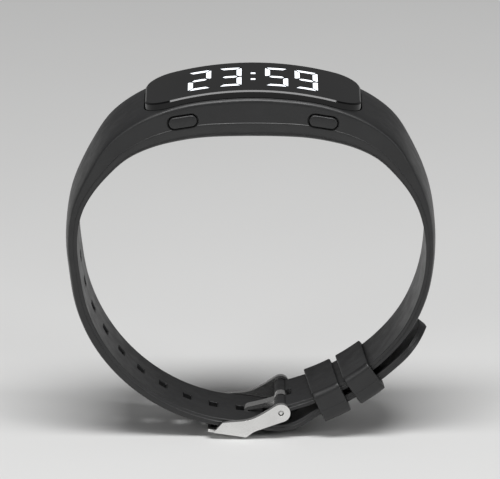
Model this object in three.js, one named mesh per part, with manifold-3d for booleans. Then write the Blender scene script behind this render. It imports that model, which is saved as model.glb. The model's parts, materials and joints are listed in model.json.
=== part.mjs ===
// Fitness tracker band, fastened as it is worn. Millimetres, +Z up through the display,
// Y along the forearm (the buttons face -Y), origin at the centre of the wrist opening.
import * as THREE from 'three';
import { mergeVertices } from 'three/addons/utils/BufferGeometryUtils.js';
import Module from 'manifold-3d';

const wasm = await Module();
wasm.setup();

// ---- Driving dimensions ----------------------------------------------------------------

const WRIST_RADIUS = 31.4;         // inner radius of the long strap
const CASE_INNER_Z = 22.9;         // skin side of the module, above the wrist centre
const CASE_HALF_WIDTH = 10.1;      // module, across the arm
const TAIL_HALF_WIDTH = 7.4;       // straps at the buckle and keepers
const HOLE_PITCH = 5;
const HOLE_ALONG = 1.6;
const HOLE_ACROSS = 2.6;
const HOLES_FREE = 9;              // left open behind the fastened one
const HOLES_COVERED = 4;           // between the fastened one and the tail tip

// The keepers and both strap ends run on arcs about one centre.
const ARC = new THREE.Vector2(-3.8, 9.2);
const SHORT_STRAP_R = 38.8;
const LONG_STRAP_R = 41.15;
const PIN_R = 39.6;
const PIN_ANGLE = 13;

const LENS = {
  halfX: 19.45, halfY: 9.25, corner: 4.8, crest: 31.95, topRadius: 58, height: 2, roof: 1.2, wall: 0.9,
};
const ARCH_Z = LENS.crest - LENS.topRadius;   // axis of the lens's arch
const SEAT_RADIUS = LENS.topRadius - LENS.height - 0.4;

const POCKET = { halfX: 18.2, halfY: 8.4, corner: 2.5, floor: 24 };
const CASE = { halfX: 17.9, halfY: 8.1, corner: 2.3, wall: 0.8, bottom: 24.1, floor: 0.6 };
const BOSS = { halfX: 5.2, halfY: 4.2, corner: 1.2, bottom: 22.45, wall: 0.8 };

const CONTACT_X = 3.75;

const BUTTON = { x: 12.6, z: 26.3, tilt: 9, length: 5.1, height: 2.1, gap: 0.22, proud: 0.3 };
const BOARD = { halfX: 16.6, halfY: 6.9, bottom: 27, thickness: 0.7 };

const KEEPER = { inner: 37.95, outer: 43.95, wallIn: 0.7, wallOut: 0.9, halfWidth: 8.6, wallSide: 0.9, skew: 5.5 };
const KEEPERS = [{ angle: 25.2, length: 5.3 }, { angle: 34.9, length: 5.4 }];

const KNUCKLE_R = 1.2;
const BORE_R = 0.75;
const EAR = { thickness: 1.05, gap: 0.25, end: 1.68, hole: 0.5 };
const TONGUE = { halfWidth: 1.2, ring: 1.25, hookIn: 6.35, hookOut: 7, slotEnd: 1.8, pull: 0.9 };

// ---- Small helpers -----------------------------------------------------------------------

const rad = THREE.MathUtils.degToRad;

function solid(geometry) {
  const bare = geometry.index ? geometry.toNonIndexed() : geometry.clone();
  bare.deleteAttribute('normal');
  bare.deleteAttribute('uv');
  const merged = mergeVertices(bare, 1e-4);
  const triVerts = new Uint32Array(merged.index.array);
  const vertProperties = new Float32Array(merged.attributes.position.array);
  return new wasm.Manifold(new wasm.Mesh({ numProp: 3, vertProperties, triVerts }));
}

function geometryOf(manifold) {
  const { vertProperties, triVerts } = manifold.getMesh();
  const geometry = new THREE.BufferGeometry();
  geometry.setAttribute('position', new THREE.BufferAttribute(new Float32Array(vertProperties), 3));
  geometry.setIndex(new THREE.BufferAttribute(new Uint32Array(triVerts), 1));
  geometry.computeVertexNormals();
  return geometry;
}

const join = (first, ...rest) => rest.reduce((whole, piece) => whole.add(piece), first);
const cut = (first, ...tools) => tools.reduce((whole, tool) => whole.subtract(tool), first);

function block(sx, sy, sz, x = 0, y = 0, z = 0) {
  return solid(new THREE.BoxGeometry(sx, sy, sz).translate(x, y, z));
}

// A box from its lowest to its highest corner.
function span(low, high) {
  const size = high.map((value, i) => value - low[i]);
  return block(...size, ...low.map((value, i) => value + size[i] / 2));
}

// A cylinder along Y between two planes.
function rodY(radius, y0, y1, x, z, sides = 24) {
  return solid(new THREE.CylinderGeometry(radius, radius, y1 - y0, sides).translate(x, (y0 + y1) / 2, z));
}

// A turned piece standing on Z: [radius, z] pairs, closed on the axis.
function turned(profile, x, y, sides = 24) {
  const points = profile.map(([r, z]) => new THREE.Vector2(r, z));
  return solid(new THREE.LatheGeometry(points, sides).rotateX(Math.PI / 2).translate(x, y, 0));
}

function roundedRect(halfX, halfY, r, x = 0, y = 0) {
  const shape = new THREE.Shape();
  const corners = [[1, -1], [1, 1], [-1, 1], [-1, -1]];
  corners.forEach(([sx, sy], i) => {
    const start = (i - 1) * (Math.PI / 2);
    shape.absarc(x + sx * (halfX - r), y + sy * (halfY - r), r, start, start + Math.PI / 2);
  });
  return shape;
}

// A plan outline raised from z0 to z1.
function prism(shape, z0, z1, curveSegments = 4) {
  const geometry = new THREE.ExtrudeGeometry(shape, { depth: z1 - z0, bevelEnabled: false, curveSegments });
  return solid(geometry.translate(0, 0, z0));
}

// An outline drawn in X and Z, extruded along Y from y0 to y1.
function profileY(shape, y0, y1, curveSegments = 8) {
  const geometry = new THREE.ExtrudeGeometry(shape, { depth: y1 - y0, bevelEnabled: false, curveSegments });
  return solid(geometry.rotateX(Math.PI / 2).translate(0, y1, 0));
}

// The part of a plan outline between two arches about the lens's axis.
function archSlab(plan, lowRadius, highRadius) {
  const reach = 0.45;                                   // half angle of the arches, in radians
  const sector = new THREE.Shape();
  sector.absarc(0, ARCH_Z, highRadius, Math.PI / 2 - reach, Math.PI / 2 + reach);
  sector.absarc(0, ARCH_Z, lowRadius, Math.PI / 2 + reach, Math.PI / 2 - reach, true);
  return profileY(sector, -15, 15, 22).intersect(prism(plan, 0, 60));
}

// A point on an arc about ARC, by its angle from straight down towards +X.
function onArc(radius, degrees) {
  const angle = rad(degrees);
  return new THREE.Vector2(ARC.x + radius * Math.sin(angle), ARC.y - radius * Math.cos(angle));
}

// ---- Band: one moulding, lofted along its skin side ----------------------------------------

// Each station: skin-side point, radius of the skin-side edge, height of the side face,
// half width, rise of the outer face over the side face, and squareness of that rise.
const onWrist = (degrees) => [-WRIST_RADIUS * Math.sin(rad(degrees)), WRIST_RADIUS * Math.cos(rad(degrees))];
const flank = (x, z, ...section) => ({ x, z, section });

// One flank of the module, from the strap up; lean draws its foot in towards the wrist.
function caseStations(side, lean) {
  const foot = [
    [30.9, 8.8, 0.5, 1.5, 9.85, 0.8, 2.6],
    [28.8, 12.7, 0.8, 2, 9.95, 0.8, 2.8],
    [25.9, 16.1, 1.2, 3.05, CASE_HALF_WIDTH, 0.85, 3.2],
    [22.7, 18.9, 1.7, 4.3, CASE_HALF_WIDTH, 0.9, 4],
    [18.3, 20.9, 2.3, 5.25, CASE_HALF_WIDTH, 1.2, 3.6],
    [13.7, 22, 2.8, 5.85, CASE_HALF_WIDTH, 1.6, 3.6],
    [9.1, 22.65, 3, 6.2, CASE_HALF_WIDTH, 1.65, 3.6],
  ];
  return foot.map(([x, z, ...section]) => flank(side * (x - lean * (1 - z / CASE_INNER_Z)), z, ...section));
}

function shortStrapStations() {
  const low = [14.5, 22, 30, 38, 46, 54].map((degrees) => {
    const widen = THREE.MathUtils.smoothstep(degrees, 40, 62);
    const { x, y } = onArc(SHORT_STRAP_R - 0.5 * widen, degrees);
    return flank(x, y, 0.2, 1.15 + 0.1 * widen, TAIL_HALF_WIDTH + 0.5 * widen, 0.5 + 0.15 * widen, 2.4);
  });
  return [
    ...low,
    flank(29.75, -8, 0.2, 1.25, 8.2, 0.65, 2.4),
    flank(31, -2.6, 0.25, 1.05, 8.9, 0.7, 2.4),
    flank(31.2, 3.2, 0.3, 1.1, 9.5, 0.75, 2.4),
  ];
}

function longStrapStations() {
  const free = [94, 106, 118, 130, 142, 154, 166, 178].map((degrees) => {
    const narrow = THREE.MathUtils.smoothstep(degrees, 80, 170);
    const thicken = THREE.MathUtils.smoothstep(degrees, 96, 114);
    const thin = THREE.MathUtils.smoothstep(degrees, 156, 176);
    const side = 1.4 - 0.25 * narrow + 0.35 * thicken * (1 - thin);
    const section = [0.25 - 0.05 * narrow, side, 9.6 - 2.2 * narrow, 0.8 - 0.25 * narrow, 2.4];
    return flank(...onWrist(degrees), ...section);
  });
  // It bows out over the knuckle, lies against the short strap, and its tail stands off a little.
  const bowed = [[8, 0.3], [12.5, 1.05], [16.5, 1.05], [20.5, 0.15]];
  const fastened = [...bowed, [25, 0], [32, 0], [39, 0], [45, 0.1], [50, 0.3], [55.2, 0.45]];
  const tail = fastened.map(([degrees, bow]) => {
    const { x, y } = onArc(LONG_STRAP_R + bow, degrees);
    return flank(x, y, 0.2, 1.15, TAIL_HALF_WIDTH, 0.55, 2.4);
  });
  return [...free, ...tail];
}

const stations = [
  ...shortStrapStations(),
  ...caseStations(1, 1.3),
  flank(0, CASE_INNER_Z, 3.1, 6.75, CASE_HALF_WIDTH, 1.65, 3.6),
  ...caseStations(-1, 0).reverse(),
  flank(-31.75, 3.2, 0.3, 1.4, 9.75, 0.8, 2.4),
  ...longStrapStations(),
];
const last = stations.length - 1;
const skin = new THREE.CatmullRomCurve3(stations.map(({ x, z }) => new THREE.Vector3(x, 0, z)));
skin.arcLengthDivisions = 1000;

// A section value between stations, eased so that the loft has no kinks.
function sectionAt(t) {
  const place = Math.min(t * last, last - 1e-9);
  const index = Math.floor(place);
  const from = stations[index].section;
  const to = stations[index + 1].section;
  return from.map((value, i) => THREE.MathUtils.lerp(value, to[i], place - index));
}

// The skin-side point and outward direction at t.
function frameAt(t) {
  const point = skin.getPoint(t);
  const along = skin.getTangent(t);
  return { point, along, out: new THREE.Vector3(along.z, 0, -along.x) };
}

function crossSection(edge, side, halfWidth, rise, squareness) {
  const EDGE_STEPS = 3;
  const CROWN_STEPS = 5;
  const half = [];
  for (let i = 0; i <= EDGE_STEPS; i += 1) {
    const angle = (i / EDGE_STEPS) * (Math.PI / 2);
    half.push([halfWidth - edge + edge * Math.sin(angle), edge - edge * Math.cos(angle)]);
  }
  for (let i = 0; i <= CROWN_STEPS; i += 1) {
    const angle = (i / CROWN_STEPS) * (Math.PI / 2);
    const across = halfWidth * Math.cos(angle) ** (2 / squareness);
    half.push([across, side + rise * Math.sin(angle) ** (2 / squareness)]);
  }
  half[half.length - 1][0] = 0;
  const mirrored = half.slice(0, -1).reverse().map(([across, height]) => [-across, height]);
  return [...half, ...mirrored];
}

// Sections joined into one closed skin; the tail narrows to a round tip.
function bandLoft() {
  const TIP_LENGTH = 6.5;
  const length = skin.getLength();
  const steps = [];
  for (let i = 0; i < 76; i += 1) steps.push((i / 76) * (length - TIP_LENGTH));
  for (let i = 0; i <= 7; i += 1) steps.push(length - TIP_LENGTH * (1 - 0.995 * Math.sin((i / 14) * Math.PI)));
  const rings = steps.map((distance) => {
    const t = skin.getUtoTmapping(0, distance);
    const { point, out } = frameAt(t);
    const section = sectionAt(t);
    const pastTip = Math.max(0, 1 - (length - distance) / TIP_LENGTH);
    section[2] *= Math.sqrt(1 - pastTip ** 2);
    section[0] = Math.min(section[0], section[2] / 2);
    return crossSection(...section).map(([across, height]) => {
      return [point.x + out.x * height, across, point.z + out.z * height];
    });
  });
  return stitch(rings);
}

function stitch(rings) {
  const count = rings[0].length;
  const index = [];
  for (let i = 0; i + 1 < rings.length; i += 1) {
    for (let j = 0; j < count; j += 1) {
      const a = i * count + j;
      const b = i * count + ((j + 1) % count);
      index.push(a, a + count, b, b, a + count, b + count);
    }
  }
  const end = (rings.length - 1) * count;
  for (let j = 1; j + 1 < count; j += 1) {
    index.push(0, j, j + 1);
    index.push(end, end + j + 1, end + j);
  }
  const geometry = new THREE.BufferGeometry();
  geometry.setAttribute('position', new THREE.Float32BufferAttribute(rings.flat(2), 3));
  geometry.setIndex(index);
  return solid(geometry);
}

// A box through the strap at a distance along it, from just inside the skin side outwards.
function strapHole(distance, length = HOLE_ALONG) {
  const { point, along, out } = frameAt(skin.getUtoTmapping(0, distance));
  const box = new THREE.BoxGeometry(HOLE_ACROSS, length, 2.9).translate(0, 0, 1.05);
  const basis = new THREE.Matrix4().makeBasis(new THREE.Vector3(0, 1, 0), along, out);
  basis.setPosition(point);
  return solid(box.applyMatrix4(basis));
}

// Distance along the skin side to the place nearest an X, on the fastened part of the long strap.
function distanceToHole(x) {
  const length = skin.getLength();
  let best = length;
  for (let distance = length * 0.6; distance < length; distance += 0.02) {
    const point = skin.getPointAt(distance / length);
    const here = skin.getPointAt(best / length);
    if (point.z < 0 && Math.abs(point.x - x) < Math.abs(here.x - x)) best = distance;
  }
  return best;
}

const pin = onArc(PIN_R, PIN_ANGLE);

function bandBody() {
  const knuckle = rodY(KNUCKLE_R, -TAIL_HALF_WIDTH, TAIL_HALF_WIDTH, pin.x, pin.y);
  const bore = rodY(BORE_R, -TAIL_HALF_WIDTH - 1, TAIL_HALF_WIDTH + 1, pin.x, pin.y);
  const slotY = TONGUE.halfWidth + 0.25;
  const slot = block(TONGUE.slotEnd + 2, 2 * slotY, 4, pin.x + TONGUE.slotEnd / 2 - 1, 0, pin.y + 0.55);
  const lensPlan = roundedRect(LENS.halfX + 0.2, LENS.halfY + 0.2, LENS.corner + 0.2);
  const recess = archSlab(lensPlan, SEAT_RADIUS, 70);
  const pocket = prism(roundedRect(POCKET.halfX, POCKET.halfY, POCKET.corner), POCKET.floor, 40);
  const window = prism(roundedRect(BOSS.halfX + 0.2, BOSS.halfY + 0.2, BOSS.corner), 20, 30);
  const fastened = distanceToHole(pin.x - 7.42);
  const holes = [strapHole(fastened + TONGUE.pull / 2, HOLE_ALONG + TONGUE.pull)];   // stretched by the tongue
  for (let i = -HOLES_COVERED; i <= HOLES_FREE; i += 1) {
    if (i !== 0) holes.push(strapHole(fastened - i * HOLE_PITCH));
  }
  const buttonCuts = [-1, 1].flatMap((side) => [
    buttonBlock(side, BUTTON.gap, -CASE_HALF_WIDTH - 1, -POCKET.halfY + 0.5),
    buttonBlock(side, 0.5, -9.15, -POCKET.halfY + 0.5),
  ]);
  return cut(join(bandLoft(), knuckle), bore, slot, recess, pocket, window, ...holes, ...buttonCuts);
}

// ---- Buttons and switches --------------------------------------------------------------------

// A block with the button's rounded outline, grown all round, between two planes of Y.
function buttonBlock(side, grow, y0, y1) {
  const halfZ = BUTTON.height / 2 + grow;
  const outline = roundedRect(BUTTON.length / 2 + grow, halfZ, Math.min(halfZ * 0.98, 1.1 + grow));
  const geometry = new THREE.ExtrudeGeometry(outline, { depth: y1 - y0, bevelEnabled: false, curveSegments: 5 });
  geometry.rotateX(Math.PI / 2).translate(0, y1, 0).rotateY(rad(side * BUTTON.tilt));
  return solid(geometry.translate(side * BUTTON.x, 0, BUTTON.z));
}

function button(side) {
  const cap = buttonBlock(side, 0, -CASE_HALF_WIDTH - BUTTON.proud, -8.8);
  const flange = buttonBlock(side, 0.35, -9.05, -8.65);
  const stem = rodY(0.7, -8.8, -7.35, side * BUTTON.x, BUTTON.z - 0.3, 16);
  return join(cap, flange, stem);
}

function sideSwitch(side) {
  const x = side * BUTTON.x;
  const body = span([x - 2.2, -6.4, 25.5], [x + 2.2, -4.3, 26.9]);
  const plunger = span([x - 0.8, -6.8, 25.9], [x + 0.8, -6.3, 26.6]);
  return join(body, plunger);
}

// ---- Module: lens, case and electronics ---------------------------------------------------------

function lens() {
  const plan = roundedRect(LENS.halfX, LENS.halfY, LENS.corner);
  const hollow = roundedRect(LENS.halfX - LENS.wall, LENS.halfY - LENS.wall, LENS.corner - LENS.wall);
  const shell = archSlab(plan, LENS.topRadius - LENS.height, LENS.topRadius);
  return cut(shell, archSlab(hollow, 40, LENS.topRadius - LENS.roof));
}

function lensGasket() {
  const ring = archSlab(roundedRect(19.1, 8.9, 4.4), SEAT_RADIUS + 0.1, SEAT_RADIUS + 0.3);
  return cut(ring, prism(roundedRect(17.3, 7.6, 2), 0, 60));
}

function coreCase() {
  const { halfX, halfY, corner, wall, bottom, floor } = CASE;
  const shell = archSlab(roundedRect(halfX, halfY, corner), 20, SEAT_RADIUS - 0.05);
  const tray = shell.intersect(span([-30, -15, bottom], [30, 15, 40]));
  const boss = prism(roundedRect(BOSS.halfX, BOSS.halfY, BOSS.corner), BOSS.bottom, bottom + 0.3);
  const cavity = prism(roundedRect(halfX - wall, halfY - wall, corner - wall), bottom + floor, 40);
  const sensorBay = prism(roundedRect(BOSS.halfX - BOSS.wall, BOSS.halfY - BOSS.wall, 0.6), BOSS.bottom + 0.65, 30);
  const windowHole = turned([[0, 20], [2.5, 20], [2.5, 24], [0, 24]], 0, 0);
  const contactHoles = [-1, 1].map((side) => turned([[0, 20], [0.5, 20], [0.5, 24], [0, 24]], side * CONTACT_X, 0, 16));
  const stemHoles = [-1, 1].map((side) => rodY(1, -9, -7, side * BUTTON.x, BUTTON.z - 0.3, 16));
  return cut(join(tray, boss), cavity, sensorBay, windowHole, ...contactHoles, ...stemHoles);
}

// Light block of the numerals: flat under, arched to follow the lens on top.
function ledDisplay() {
  const top = archSlab(roundedRect(12.9, 7, 0.6), 20, LENS.topRadius - LENS.roof - 0.95);
  return top.intersect(span([-20, -10, BOARD.bottom + BOARD.thickness + 0.1], [20, 10, 40]));
}

const DIGITS = [-9.7, -4, 4.3, 9.7];

function diffuser(x, halfX) {
  const roof = LENS.topRadius - LENS.roof;
  return archSlab(roundedRect(halfX, 6.8, 0.4, x), roof - 0.85, roof - 0.15);
}

function mainBoard() {
  return prism(roundedRect(BOARD.halfX, BOARD.halfY, 1.5), BOARD.bottom, BOARD.bottom + BOARD.thickness);
}

function vibrationMotor() {
  return turned([[0, 24.85], [4, 24.85], [4, 26.7], [0, 26.7]], 10.4, 2.4, 32);
}

function sensorWindow() {
  return turned([[0, 22.5], [2.35, 22.5], [2.35, 23.2], [3, 23.2], [3, 23.5], [0, 23.5]], 0, 0, 32);
}

function chargeContact(side) {
  const profile = [[0, 22.3], [0.4, 22.3], [0.4, 23.2], [0.6, 23.2], [0.6, 23.7], [0, 23.7]];
  return turned(profile, side * CONTACT_X, 0, 16);
}

// ---- Buckle, spring bar and keepers ---------------------------------------------------------------

// A THREE.Shape drawn about the pin.
function pinShape(draw) {
  const shape = new THREE.Shape();
  draw(shape, pin.x, pin.y);
  return shape;
}

function buckleFrame() {
  const outline = pinShape((shape, x, z) => {
    shape.absarc(x, z, EAR.end, rad(-75), rad(125));
    shape.bezierCurveTo(x - 2.6, z + 0.3, x - 4.2, z - 0.8, x - 5.6, z - 1.25);
    shape.bezierCurveTo(x - 7.2, z - 1.75, x - 9.2, z - 1.6, x - 10.7, z - 1.9);
    shape.lineTo(x - 12.3, z - 3.75);
    shape.lineTo(x - 6.3, z - 4.65);
    shape.lineTo(x - 5, z - 3.6);
  });
  const bar = pinShape((shape, x, z) => {
    shape.moveTo(x - 13.3, z - 3.05);
    shape.lineTo(x - 13.3, z - 3.6);
    shape.lineTo(x - 8, z - 4.4);
    shape.lineTo(x - 7.8, z - 3.8);
  });
  const inside = TAIL_HALF_WIDTH + EAR.gap;
  const outside = inside + EAR.thickness;
  const ears = [-1, 1].map((side) => {
    const plate = profileY(outline, Math.min(side * inside, side * outside), Math.max(side * inside, side * outside));
    return cut(plate, rodY(EAR.hole, -12, 12, pin.x, pin.y, 16));
  });
  return join(profileY(bar, -outside + 0.2, outside - 0.2), ...ears);
}

function buckleTongue() {
  const shank = pinShape((shape, x, z) => {
    const { hookIn, hookOut } = TONGUE;
    shape.moveTo(x - 1, z + 0.05);
    shape.quadraticCurveTo(x - 3.2, z - 0.7, x - 5.8, z - 1.25);
    shape.quadraticCurveTo(x - 6.5, z - 1.4, x - hookOut * Math.cos(rad(15.5)), z - hookOut * Math.sin(rad(15.5)));
    shape.absarc(x, z, hookOut, rad(195.5), rad(202));
    shape.absarc(x, z, hookIn, rad(203.5), rad(198), true);
    shape.quadraticCurveTo(x - 4.3, z - 1.6, x - 0.6, z - 1);
  });
  const { halfWidth, ring } = TONGUE;
  const whole = join(profileY(shank, -halfWidth, halfWidth), rodY(ring, -halfWidth, halfWidth, pin.x, pin.y));
  return cut(whole, rodY(BORE_R, -halfWidth - 1, halfWidth + 1, pin.x, pin.y));
}

const BAR = { tube: 0.65, inside: 0.5, halfLength: 7.2, tip: 0.4, tipInner: 5, tipOuter: 8.5 };

function springBarTube() {
  const reach = BAR.halfLength;
  return cut(rodY(BAR.tube, -reach, reach, pin.x, pin.y, 20), rodY(BAR.inside, -reach - 1, reach + 1, pin.x, pin.y, 20));
}

function springBarTip(side) {
  const [y0, y1] = side < 0 ? [-BAR.tipOuter, -BAR.tipInner] : [BAR.tipInner, BAR.tipOuter];
  return rodY(BAR.tip, y0, y1, pin.x, pin.y, 16);
}

function springBarSpring() {
  const TURNS = 8;
  const WIRE = 0.1;
  const reach = BAR.tipInner - 0.3;
  const path = new THREE.Curve();
  path.getPoint = (t, target = new THREE.Vector3()) => {
    const angle = t * TURNS * 2 * Math.PI;
    const radius = BAR.inside - WIRE - 0.06;
    return target.set(pin.x + radius * Math.cos(angle), (2 * t - 1) * reach, pin.y + radius * Math.sin(angle));
  };
  const wire = new THREE.Shape();
  wire.absarc(0, 0, WIRE, 0, 2 * Math.PI);
  return solid(new THREE.ExtrudeGeometry(wire, { steps: TURNS * 8, curveSegments: 3, extrudePath: path }));
}

// A rubber loop round both straps: a hollow section swept along the arc, a little askew.
function keeper({ angle, length }) {
  const middle = (KEEPER.inner + KEEPER.outer) / 2;
  const halfHeight = (KEEPER.outer - KEEPER.inner) / 2;
  const outline = roundedRect(KEEPER.halfWidth, halfHeight, 1.1);
  const holeLow = KEEPER.inner + KEEPER.wallIn - middle;
  const holeHigh = KEEPER.outer - KEEPER.wallOut - middle;
  const hollow = KEEPER.halfWidth - KEEPER.wallSide;
  const loop = roundedRect(hollow, (holeHigh - holeLow) / 2, 0.35, 0, (holeHigh + holeLow) / 2);
  outline.holes.push(new THREE.Path(loop.getPoints(3)));
  const settings = { depth: length, steps: 4, bevelEnabled: false, curveSegments: 4 };
  const geometry = new THREE.ExtrudeGeometry(outline, settings).translate(0, 0, -length / 2);
  const { position } = geometry.attributes;
  for (let i = 0; i < position.count; i += 1) {
    const across = -position.getX(i);
    const radius = middle + position.getY(i);
    const along = position.getZ(i) - across * Math.tan(rad(KEEPER.skew));
    const { x, y } = onArc(radius, angle + THREE.MathUtils.radToDeg(along / radius));
    position.setXYZ(i, x, across, y);
  }
  return solid(geometry);
}

// ---- Assembly ------------------------------------------------------------------------------------

const rubber = { color: 0x1b1c1e, roughness: 0.75, metalness: 0 };
const plastic = { color: 0x141416, roughness: 0.55, metalness: 0 };
const gloss = { color: 0x050506, roughness: 0.08, metalness: 0 };
const lit = { color: 0xf4f6ff, roughness: 0.4, metalness: 0 };
const board = { color: 0x0d3b24, roughness: 0.5, metalness: 0 };
const chip = { color: 0x18191b, roughness: 0.45, metalness: 0 };
const steel = { color: 0xc8c8c6, roughness: 0.3, metalness: 1 };
const gold = { color: 0xd8ac4a, roughness: 0.3, metalness: 1 };
const foil = { color: 0xb9bcc0, roughness: 0.4, metalness: 1 };
const adhesive = { color: 0x2a2a2c, roughness: 0.9, metalness: 0 };

const tracker = new THREE.Group();

function add(name, manifold, look) {
  const mesh = new THREE.Mesh(geometryOf(manifold), new THREE.MeshStandardMaterial(look));
  mesh.name = name;
  tracker.add(mesh);
}

add('band_body', bandBody(), rubber);
add('core_case', coreCase(), plastic);
add('display_lens', lens(), gloss);
add('lens_gasket', lensGasket(), adhesive);
add('led_display', ledDisplay(), plastic);
DIGITS.forEach((x, i) => add(`digit_diffuser_${i + 1}`, diffuser(x, 2.5), lit));
add('colon_diffuser', diffuser(0, 0.7), lit);
add('main_board', mainBoard(), board);
add('processor_chip', span([5, -6.3, 26.1], [9.5, -1.9, 26.9]), chip);
add('motion_sensor', span([-6.5, -6.3, 26.1], [-4, -4.3, 26.9]), chip);
add('antenna', span([14.4, -1.5, 27.8], [16, 4.5, 28.2]), foil);
add('battery', span([-14.6, -3.6, 24.85], [4.4, 6.8, 26.85]), foil);
add('vibration_motor', vibrationMotor(), foil);
[[-1, 'left'], [1, 'right']].forEach(([side, name]) => {
  add(`side_switch_${name}`, sideSwitch(side), foil);
  add(`button_${name}`, button(side), rubber);
  add(`charge_contact_${name}`, chargeContact(side), gold);
});
add('sensor_board', span([-4.1, -3.1, 24.1], [4.1, 3.1, 24.4]), board);
add('optical_sensor', span([-1.6, -1.2, 23.6], [1.6, 1.2, 24]), chip);
add('sensor_window', sensorWindow(), gloss);
add('buckle_frame', buckleFrame(), steel);
add('buckle_tongue', buckleTongue(), steel);
add('spring_bar_tube', springBarTube(), steel);
add('spring_bar_tip_front', springBarTip(-1), steel);
add('spring_bar_tip_rear', springBarTip(1), steel);
add('spring_bar_spring', springBarSpring(), steel);
KEEPERS.forEach((size, i) => add(`keeper_${i + 1}`, keeper(size), rubber));

export default tracker;
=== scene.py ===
# Fitness tracker band: the visual model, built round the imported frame.
# Shapes are made in millimetres, in the row frame, and scaled to metres as each piece is finished.

import json
import math

import bmesh
import bpy
import numpy as np
from mathutils import Matrix, Vector


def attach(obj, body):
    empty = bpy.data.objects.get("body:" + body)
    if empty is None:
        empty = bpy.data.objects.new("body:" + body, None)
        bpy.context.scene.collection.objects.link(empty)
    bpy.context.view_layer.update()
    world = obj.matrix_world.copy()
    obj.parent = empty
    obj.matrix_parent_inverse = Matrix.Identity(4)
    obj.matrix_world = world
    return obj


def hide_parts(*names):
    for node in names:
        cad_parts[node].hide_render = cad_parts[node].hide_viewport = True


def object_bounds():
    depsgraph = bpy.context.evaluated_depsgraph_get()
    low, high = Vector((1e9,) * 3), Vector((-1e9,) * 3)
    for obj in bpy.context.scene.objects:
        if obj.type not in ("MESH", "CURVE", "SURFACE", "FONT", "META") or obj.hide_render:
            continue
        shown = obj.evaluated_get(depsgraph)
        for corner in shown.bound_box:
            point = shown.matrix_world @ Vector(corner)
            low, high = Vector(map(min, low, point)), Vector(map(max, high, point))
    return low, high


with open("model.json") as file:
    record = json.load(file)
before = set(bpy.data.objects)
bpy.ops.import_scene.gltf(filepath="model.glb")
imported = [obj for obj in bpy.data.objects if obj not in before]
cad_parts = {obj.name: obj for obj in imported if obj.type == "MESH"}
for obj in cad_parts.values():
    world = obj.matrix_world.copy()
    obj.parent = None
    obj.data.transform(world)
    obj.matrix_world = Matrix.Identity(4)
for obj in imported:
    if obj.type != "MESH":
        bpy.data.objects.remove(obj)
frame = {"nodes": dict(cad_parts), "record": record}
cad_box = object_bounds()

MM = 0.001

# ---- Dimensions shared with the CAD part, in millimetres ------------------------------------

WRIST_RADIUS = 31.4
CASE_INNER_Z = 22.9
CASE_HALF_WIDTH = 10.1
TAIL_HALF_WIDTH = 7.4
HOLE_PITCH = 5.0
HOLE_ALONG = 1.6
HOLE_ACROSS = 2.6
HOLES_FREE = 9
HOLES_COVERED = 4
TIP_LENGTH = 6.5

ARC = np.array([-3.8, 9.2])
SHORT_STRAP_R = 38.8
LONG_STRAP_R = 41.15
PIN_R = 39.6
PIN_ANGLE = 13.0

LENS_HALF_X, LENS_HALF_Y, LENS_CORNER = 19.45, 9.25, 4.8
LENS_CREST, LENS_TOP_R, LENS_HEIGHT, LENS_ROOF, LENS_WALL = 31.95, 58.0, 2.0, 1.2, 0.9
ARCH_Z = LENS_CREST - LENS_TOP_R
SEAT_R = LENS_TOP_R - LENS_HEIGHT - 0.4

BUTTON_X, BUTTON_Z, BUTTON_TILT = 12.6, 26.3, 9.0
BUTTON_LENGTH, BUTTON_HEIGHT, BUTTON_GAP, BUTTON_PROUD = 5.1, 2.1, 0.22, 0.3

KEEPER_INNER, KEEPER_OUTER, KEEPER_WALL_IN, KEEPER_WALL_OUT = 37.95, 43.95, 0.7, 0.9
KEEPER_HALF_WIDTH, KEEPER_WALL_SIDE, KEEPER_SKEW = 8.6, 0.9, 5.5
KEEPERS = [(25.2, 5.3), (34.9, 5.4)]

KNUCKLE_R, BORE_R = 1.2, 0.75
EAR_THICKNESS, EAR_GAP, EAR_END, EAR_HOLE = 1.05, 0.25, 1.68, 0.5
TONGUE_HALF, TONGUE_RING, HOOK_IN, HOOK_OUT, TONGUE_PULL = 1.2, 1.25, 6.35, 7.0, 0.9
BAR_TIP_R = 0.4
LENS_GAP = 0.2                      # between the lens and its recess, all round
MODULE_POCKET = (18.2, 8.4, 2.5)    # half length, half width and corner of the electronics pocket
MODULE_POCKET_FLOOR = 24.0
PAD_OPENING = (5.4, 4.4, 1.2)       # the same, for the pad on the skin side
TONGUE_HOLE_AHEAD = 7.42            # from the pin to the fastened hole, along X
STRAP_HOLE_CORNER, STRAP_HOLE_EASE = 0.28, 0.16
MOULDING_RIDGE = 0.07
LOFT_STEP = 0.45
CONTACT_X = 3.75


def smoothstep(x, low, high):
    t = np.clip((x - low) / (high - low), 0, 1)
    return t * t * (3 - 2 * t)


def on_arc(radius, degrees):
    """A point (x, z) on an arc about ARC, by its angle from straight down towards +X."""
    angle = np.radians(degrees)
    return ARC + radius * np.array([np.sin(angle), -np.cos(angle)])


PIN = on_arc(PIN_R, PIN_ANGLE)

# ---- Materials ------------------------------------------------------------------------------


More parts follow.
